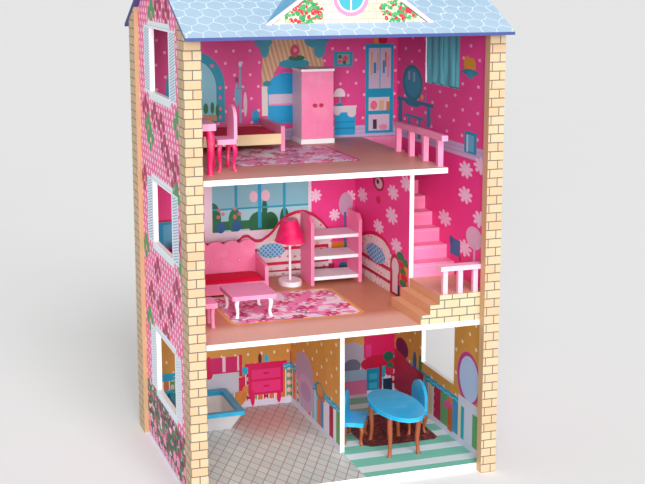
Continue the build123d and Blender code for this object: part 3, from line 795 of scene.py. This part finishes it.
def dormerGableFinish():
    # bricks, climbing roses in the corners and a round window
    coat = Finish("dormerGable", shine=0.4)
    low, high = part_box("dormer_gable")
    u, v = coat.x, coat.z
    uv = coat.join(u, v)
    centre = ((low.x + high.x) / 2 / mm + corner[0], low.z / mm + 44)
    a, b, pick = coat.lattice(u, v, 28.0, 13.0)
    joint = (abs(a) > 13.2) | (abs(b) > 5.7)
    colour = blend("#EADFC8", "#DFD0B2", pick[0])
    colour = blend(colour, "#BCAE98", joint)
    place = coat.join(u / 6.5, v / 6.5, 2.0)
    cell = coat.split(coat.cells(place, 1.0, "Color"), "Color")
    near = coat.cells(place, 1.0)
    edge = coat.noise(0.07, 3.0, 0.6)
    cover = None
    for side in (-1, 1):
        reach = coat.length(coat.join((u - centre[0] - side * 92) / 42, (v - centre[1] + 22) / 24))
        spot = reach + (edge - 0.5) * 1.4 < 0.95
        cover = spot if cover is None else cover | spot
    leaf = blend("#4CAE6C", "#2F8B50", cell[1])
    leaf = blend(leaf, "#D02438", cell[0] > 0.62)
    leaf = blend(leaf, "#F4B8C4", (cell[0] > 0.62) * (near < 0.18))
    colour = blend(colour, leaf, cover * (near < 0.7) * (cell[2] > 0.08))
    x, z = centre
    glass, pane = 23, 1.5
    shapes = [
        (oval, x, z, 33, 33, "#F08CB4"), (oval, x, z, 26, 26, "#F8D8E4"),
        (oval, x, z, glass, glass, "#3FA9BC"), (bar, x - pane, z - glass, x + pane, z + glass, "#F8D8E4"),
        (bar, x - glass, z - pane, x + glass, z + pane)]
    return coat.printed(draw(colour, uv, shapes))


def paintFinish(name, code, gloss=0.3, edge="#FFFFFF", wearAndHighlight=0.35):
    # the edge colour and its strength set the lighter rims laid in painted(): worn paint and a painted
    # highlight
    coat = Finish(name)
    mottle = coat.noise(0.12, 3.0, 0.6)
    colour = coat.shade(tint(code), 0.94 + mottle * 0.12)
    return coat.painted(colour, gloss, edge, wearAndHighlight)


def woodFinish(name, light, dark, along, gloss=0.4):
    # clear-lacquered wood with grain along one axis
    coat = Finish(name, shine=0.45)
    stretch = [0.5, 0.5, 0.5]
    stretch["xyz".index(along)] = 0.03
    grain = coat.grain(tuple(stretch), 5.0, 0.7)
    rings = abs((grain * 14).fract() - 0.5)
    colour = blend(light, dark, grain * 0.6 + rings * 0.35)
    broad = coat.noise(0.03)
    coat.feed(Base_Color=colour, Roughness=gloss + grain * 0.15 + broad * 0.05,
              Normal=coat.bump(grain + rings, 0.15, 0.0003))
    return coat.material


def clothFinish(name, code, dark, weave=0.9):
    # plain woven cloth
    coat = Finish(name, shine=0.15, Sheen_Weight=0.04, Sheen_Roughness=0.4)
    warp, weft, rise = ((line / weave * wholeTurn).math("SINE") for line in (coat.x, coat.y, coat.z))
    thread = (warp * weft + rise * warp + rise * weft) * 0.3 + 0.5
    broad = coat.noise(0.03, 3.0)
    fuzz = coat.noise(1.5, 2.0, 0.7)
    colour = blend(code, dark, thread * 0.3 + broad * 0.25 + fuzz * 0.1)
    coat.feed(Base_Color=colour, Roughness=0.8 + fuzz * 0.15,
              Normal=coat.bump(thread + fuzz, 0.5, 0.0004))
    return coat.material


def buttonedFinish(name, code):
    # painted sofa back with a row of pressed buttons
    low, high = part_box("sofa_back")
    coat = Finish(name)
    button = {"count": 5, "radius": 2.6, "ring": 3.9}
    spacing = (high.x - low.x) / mm / button["count"]
    start, middle = low.x / mm + corner[0], (low.z * 0.45 + high.z * 0.55) / mm
    across = ((coat.x - start) / spacing + 0.5).fract() - 0.5
    reach = (across * across * spacing * spacing + (coat.z - middle) * (coat.z - middle)).root()
    ring = reach.between(button["radius"], button["ring"])
    mottle = coat.noise(0.12, 3.0, 0.6)
    colour = coat.shade(tint(code), 0.94 + mottle * 0.12)
    colour = blend(colour, "#D85088", ring * 0.8)
    colour = blend(colour, "#FBB0CC", (reach < button["radius"]) * 0.7)
    return coat.painted(colour, 0.32)


print("boards and prints")
clockPrint = [
    (daisy, 434, 477, 31, 16, "#EFCBE2"), (daisy, 259, 511, 31, 16), (daisy, 265, 462, 34, 18),
    (daisy, 338, 426, 31, 15), (daisy, 238, 405, 31, 16), (daisy, 190, 540, 31, 16),
    (daisy, 445, 560, 31, 16), (oval, 340, 520, 32, 19, "#A80C34"), (oval, 338, 517, 20, 11, "#CFC0C8"),
    (oval, 344, 520, 8, 5, "#3C2030"), (oval, 340, 482, 12, 8, "#C4103C")]
couchLine = [
    (248, 362), (254, 375), (270, 392), (286, 401), (313, 409), (346, 411), (381, 408), (428, 396),
    (478, 379)]
couchPrint = [
    (bar, 262, 344, 459, 352, "#B80C3C"), (bar, 262, 318, 459, 325), (oval, 244, 362, 27, 24),
    (bar, 222, 300, 271, 364), (oval, 243, 360, 19, 19, "#E0D0D8"), (bar, 230, 306, 258, 360),
    (oval, 216, 388, 19, 9, "#128048"), (oval, 191, 376, 16, 11), (bar, 177, 335, 217, 372, "#E09030"),
    (oval, 210, 370, 15, 8, "#D01840"), (oval, 202, 358, 15, 8, "#128048"),
    (oval, 196, 347, 17, 9, "#D01840"), (oval, 202, 335, 18, 7, "#128048"),
    (bar, 219, 302, 229, 326, "#182C4C")]
toiletPrint = [
    (bar, 276, 27, 297, 92, "#D8703C"), (bar, 258, 27, 276, 92, "#2C8CC0"),
    (bar, 222, 27, 258, 92, "#E2DCEC"), (bar, 198, 27, 222, 92, "#A8143C"),
    (bar, 180, 27, 198, 92, "#E6E0EE"), (bar, 150, 27, 180, 92, "#5FA458"),
    (oval, 385, 109, 62, 45, "#B49CB8"), (oval, 375, 67, 55, 39, "#C4A8C8"),
    (oval, 374, 70, 35, 20, "#B494BC"), (oval, 282, 101, 30, 18, "#2C8C98"),
    (oval, 281, 102, 20, 14, "#D88C3C"), (bar, 249, 86, 285, 93, "#D8602C")]

finishes = {
    "side_wall_left": sideWallFinish("leftWallPrint", "side_wall_left", -1, ("ground", "middle", "top")),
    "side_wall_right": sideWallFinish("rightWallPrint", "side_wall_right", 1, ("ground", "top")),
    "back_panel_lower": backLowerFinish(),
    "back_panel_upper": backUpperFinish(),
    "divider_ground": dividerFinish("groundDivider", toiletPrint, []),
    "divider_middle": dividerFinish("middleDivider", clockPrint, couchPrint, couchLine),
    "floor_base": groundFloorFinish(),
    "floor_middle": middleFloorFinish(),
    "floor_top": topFloorFinish(),
    "front_post_left": brickPostFinish("leftPostBricks", "post"),
    "side_battens": brickPostFinish("battenBricks", "battens"),
    "entry_front_board": brickPostFinish("stepBricks", "board"),
    "roof_panel_front": roofFinish(),
    "dormer_roof_panels": dormerRoofFinish(),
    "dormer_gable": dormerGableFinish(),
    "entry_steps": woodFinish("stepWood", "#E8B48C", "#CE8A5C", "y"),
    "landing_deck": woodFinish("landingWood", "#E0AE98", "#C88468", "x"),
    "bed_side_rails": woodFinish("bedRailWood", "#F3DDB0", "#E2C08A", "x"),
    "sofa_back": buttonedFinish("sofaBackPink", "#F47CAC"),
    "dining_table_legs": woodFinish("legStain", "#B4603A", "#74321A", "z", 0.28),
}
paints = {
    "dormer_fascia": ("fasciaPink", "#F9C9DC"),
    "stair_treads": ("stairPink", "#F58CB8", 0.34),
    "landing_fence": ("fencePink", "#FBBFD6"),
    "top_railing": ("railPink", "#F58DB6"),
    "wardrobe_carcass": ("wardrobeLilac", "#DCCBDA"),
    "wardrobe_top": ("trimWhite", "#F7F5F7"),
    "wardrobe_door_left": ("doorPink", "#F77FAE"),
    # the knob's lighter crimson rim is a painted highlight on its rounded edge, with some wear
    "wardrobe_knob_left": ("knobCrimson", "#D0003C", 0.18, "#F0608C"),
    "bed_end_boards": ("bedPink", "#EE86AE"),
    "bedroom_chair_seat": ("chairPink", "#F59CC0"),
    "bedroom_chair_legs": ("legMagenta", "#F01868", 0.2),
    "dressing_table_top": ("dresserPink", "#F8A4C6"),
    "sofa_frame": ("sofaPink", "#F683AE"),
    "coffee_table_top": ("tablePink", "#EE92BC"),
    "coffee_table_legs": ("legWhite", "#F7F5F7", 0.2),
    "side_stool_top": ("stoolPink", "#F995BE"),
    "floor_lamp_stand": ("lampWhite", "#F2ECF0", 0.22),
    "floor_lamp_shade": ("shadeMagenta", "#EC1468", 0.3),
    "shelf_unit_sides": ("shelfPink", "#F67CAC"),
    "shelf_unit_shelves": ("shelfWhite", "#F4F2F6"),
    "bathtub_body": ("tubWhite", "#F3F1F4", 0.22),
    # the pale blue rims of the tub and the dining table are painted highlights on their rounded edges, with
    # some wear
    "bathtub_rim": ("tubBlue", "#10AEE0", 0.2, "#8EE6F8", 0.7),
    "dining_table_top": ("tableBlue", "#00B2EC", 0.22, "#8EE6F8", 0.9),
}
finishes.update({node: paintFinish(*values) for node, values in paints.items()})
sameAs = {
    "front_post_right": "front_post_left", "roof_panel_back": "roof_panel_front",
    "stair_risers": "stair_treads", "wardrobe_plinth": "wardrobe_top",
    "wardrobe_door_right": "wardrobe_door_left", "wardrobe_knob_right": "wardrobe_knob_left",
    "bed_base": "bed_side_rails", "dressing_table_legs": "bedroom_chair_legs",
    "side_stool_legs": "side_stool_top", "dining_chair_left_seat": "dining_table_top",
    "dining_chair_right_seat": "dining_table_top", "dining_chair_left_legs": "dining_table_legs",
    "dining_chair_right_legs": "dining_table_legs",
}
bodyOf = {node: body for body, nodes in frame["record"]["behaviour"]["bodies"].items() for node in nodes}
softNodes = ("bed_mattress", "sofa_cushion", "window_curtains")
for name, node in frame["nodes"].items():
    if name not in softNodes:
        node.data.materials.clear()
        node.data.materials.append(finishes[sameAs.get(name, name)])


def standFor(shape, name, node, coat):
    # puts a finished soft piece in the scene in place of its plain solid
    mesh = bpy.data.meshes.new(name)
    shape.to_mesh(mesh)
    shape.free()
    mesh.shade_smooth()
    mesh.materials.append(coat)
    piece = bpy.data.objects.new(name, mesh)
    bpy.context.scene.collection.objects.link(piece)
    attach(piece, bodyOf[node])
    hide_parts(node)
    return piece


def softPad(name, node, coat, pad):
    # a crowned pad: rounded plan, sides pulled in between the corners, a welt round its middle
    low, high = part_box(node)
    centre, half = (low + high) / 2, (high - low) / 2
    shape = bmesh.new()
    bmesh.ops.create_cube(shape, size=2.0)
    bmesh.ops.subdivide_edges(shape, edges=shape.edges, cuts=pad["cuts"], use_grid_fill=True)
    for vert in shape.verts:
        x, y, z = vert.co
        inX, inY = (1 - abs(x)) * half.x, (1 - abs(y)) * half.y
        near = min(inX, inY)
        swell = 1 - max(0.0, 1 - near / pad["crown"]) ** 2.2
        height = z * (pad["edge"] + (1 - pad["edge"]) * swell)
        if z < 0:
            height = z * (1 - (1 - pad["edge"]) * 0.6 * (1 - swell))
        onSide = max(0.0, 1 - near / pad["crown"])
        tuck = pad["tuck"] * onSide
        welt = pad["welt"] * onSide * max(0.0, 1 - abs(z) / 0.16)
        rounding = (abs(x) ** 8 + abs(y) ** 8) ** 0.125 / max(abs(x), abs(y), 0.001)
        x, y = x / rounding, y / rounding
        x -= x * (tuck * (1 - y * y) + pad["bulge"] * z * z * onSide - welt) / half.x
        y -= y * (tuck * (1 - x * x) + pad["bulge"] * z * z * onSide - welt) / half.y
        place = Vector((x * half.x, y * half.y, height * half.z))
        crease = noise.noise(Vector((place.x * 160, place.y * 160, 3.0))) * (0.35 + onSide)
        place.z += crease * pad["crease"] * (1 if z > 0 else 0.3)
        place.z = min(place.z, half.z)
        vert.co = centre + place
    piece = standFor(shape, name, node, coat)
    smooth = piece.modifiers.new("smooth", "SUBSURF")
    smooth.levels = smooth.render_levels = 1


def hungCurtain(name, coat, side, drape):
    # one half of a pair: a sheet in soft folds that spread towards the hem
    low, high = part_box("window_curtains")
    middle = (low + high) / 2
    start, end = (low.y, middle.y) if side < 0 else (middle.y, high.y)
    shape = bmesh.new()
    bmesh.ops.create_grid(shape, x_segments=drape["across"], y_segments=drape["down"], size=1.0)
    for vert in shape.verts:
        along, down = (vert.co.x + 1) / 2, (1 - vert.co.y) / 2
        sway = noise.noise(Vector((along * 3, down * 1.6, side * 5))) * 0.5
        turn = (along * drape["folds"] + sway * down) * wholeTurn
        depth = drape["depth"] * (0.75 + 0.25 * down)
        vert.co = Vector((middle.x + math.cos(turn) * depth,
                          start + (end - start) * along + math.sin(turn * 2) * depth * 0.15,
                          high.z - (high.z - low.z) * down))
    bmesh.ops.solidify(shape, geom=shape.faces, thickness=drape["thick"])
    bmesh.ops.recalc_face_normals(shape, faces=shape.faces)
    piece = standFor(shape, name, "window_curtains", coat)


print("soft pieces")
softPad("mattress", "bed_mattress", clothFinish("mattressCrimson", "#F81048", "#CC0434"),
        {"cuts": 35, "crown": 0.009, "edge": 0.72, "tuck": 0.0008, "welt": 0.0006, "bulge": 0.0012,
         "crease": 0.0006, "fill": 0.7})
softPad("sofaCushion", "sofa_cushion", clothFinish("sofaCrimson", "#EA0846", "#BC0030"),
        {"cuts": 35, "crown": 0.011, "edge": 0.66, "tuck": 0.0010, "welt": 0.0007, "bulge": 0.0014,
         "crease": 0.0008, "fill": 0.7})
curtainCloth = clothFinish("curtainTeal", "#6FC0CC", "#3C98A8", 1.2)
drape = {"across": 90, "down": 30, "folds": 2.5, "depth": 0.0028, "thick": 0.0007,
         "flat": (0.088, 0.120)}
hungCurtain("curtainFront", curtainCloth, -1, drape)
hungCurtain("curtainBack", curtainCloth, 1, drape)


def studio():
    # camera, floor and soft light
    view = {"place": (-0.7957, -2.4124, 0.9716), "turn": 0.3297, "tip": 0.1873, "roll": 0.0006,
            "lens": 73.42, "shift": -0.05}
    camera = bpy.data.objects.new("camera", bpy.data.cameras.new("camera"))
    bpy.context.scene.collection.objects.link(camera)
    camera.location = view["place"]
    camera.rotation_euler = (math.pi / 2 - view["tip"], view["roll"], -view["turn"])
    camera.data.sensor_width = 36
    camera.data.lens = view["lens"]
    camera.data.shift_y = view["shift"]
    bpy.context.scene.camera = camera
    room = {"sky": 0.36, "keyLight": {"from": (-0.46, -1.0, 0.15), "power": 1.65, "soft": 0.36},
            "fillLight": {"from": (0.24, -1.0, 0.09), "power": 1.1, "soft": 0.42},
            "highLight": {"from": (-0.1, -1.0, 0.8), "power": 1.9, "soft": 0.6}}
    world = bpy.data.worlds.new("studio")
    world.use_nodes = True
    world.node_tree.nodes["Background"].inputs[0].default_value = (1, 1, 1, 1)
    world.node_tree.nodes["Background"].inputs[1].default_value = room["sky"]
    bpy.context.scene.world = world
    for name in ("keyLight", "fillLight", "highLight"):
        lamp = bpy.data.objects.new(name, bpy.data.lights.new(name, "SUN"))
        lamp.data.energy = room[name]["power"]
        lamp.data.angle = room[name]["soft"]
        lamp.rotation_euler = (-Vector(room[name]["from"])).to_track_quat("-Z", "Y").to_euler()
        bpy.context.scene.collection.objects.link(lamp)
    mesh = bpy.data.meshes.new("floor")
    sheet = bmesh.new()
    bmesh.ops.create_grid(sheet, x_segments=1, y_segments=1, size=90)
    sheet.to_mesh(mesh)
    sheet.free()
    floor = bpy.data.objects.new("floor", mesh)
    bpy.context.scene.collection.objects.link(floor)
    coat = Finish("paleFloor", Roughness=0.9)
    cloudy = coat.noise(0.002)
    coat.feed(Base_Color=blend((0.97, 0.97, 0.97, 1), (0.94, 0.94, 0.94, 1), cloudy))
    mesh.materials.append(coat.material)
    bpy.context.scene.view_settings.view_transform = "Standard"


print("studio")
studio()
